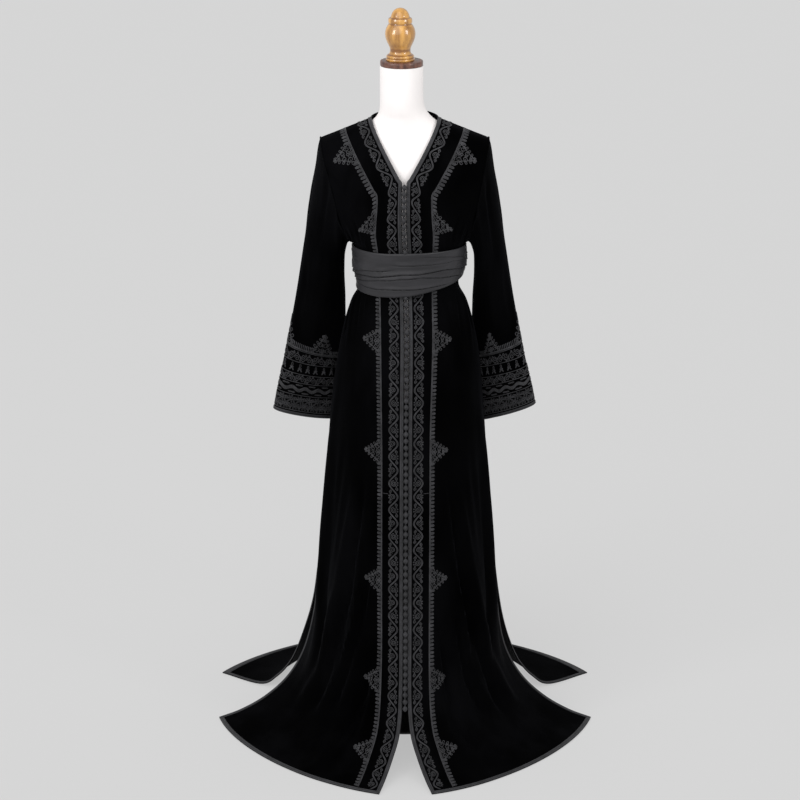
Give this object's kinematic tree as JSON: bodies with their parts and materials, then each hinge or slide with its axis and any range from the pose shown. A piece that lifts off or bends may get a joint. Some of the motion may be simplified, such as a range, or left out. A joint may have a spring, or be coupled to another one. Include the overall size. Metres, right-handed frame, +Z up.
{
  "type": "velvet caftan on a dress form",
  "caption": "Long V-neck velvet caftan with corded bands, knot buttons, pleated sash and side slits, standing on a limbless dress form with a turned finial.",
  "frame": {"origin": "middle of the base's underside, on the floor", "axes": "+Z up; the front of the garment faces -Y; +X to the viewer's right when facing the front"},
  "size_m": [0.92, 0.8937, 1.7006],
  "materials": {
    "velvet": "deep pile velvet, black",
    "cord": "corded silk, dark grey",
    "braid": "woven silk braid, charcoal",
    "satin": "satin, charcoal",
    "jersey": "stretched cotton jersey, cream",
    "turned_wood": "varnished, honey brown",
    "dark_wood": "stained, reddish brown",
    "steel": "black powder coat"
  },
  "bodies": {
    "root": {"front_left": "velvet", "sleeve_left": "velvet", "edge_braid_left": "braid", "scroll_band_left": "cord", "comb_band_left": "cord", "cuff_cording_left": "cord", "cuff_braid_left": "braid", "front_right": "velvet", "sleeve_right": "velvet", "edge_braid_right": "braid", "scroll_band_right": "cord", "comb_band_right": "cord", "cuff_cording_right": "cord", "cuff_braid_right": "braid", "back": "velvet", "edge_braid_back": "braid", "neck_braid_back": "braid", "buttons_bodice": "braid", "buttons_skirt": "braid", "sash": "satin", "form_torso": "jersey", "neck_cap": "dark_wood", "finial": "turned_wood", "pole": "steel", "base": "steel"}
  },
  "joints": []
}
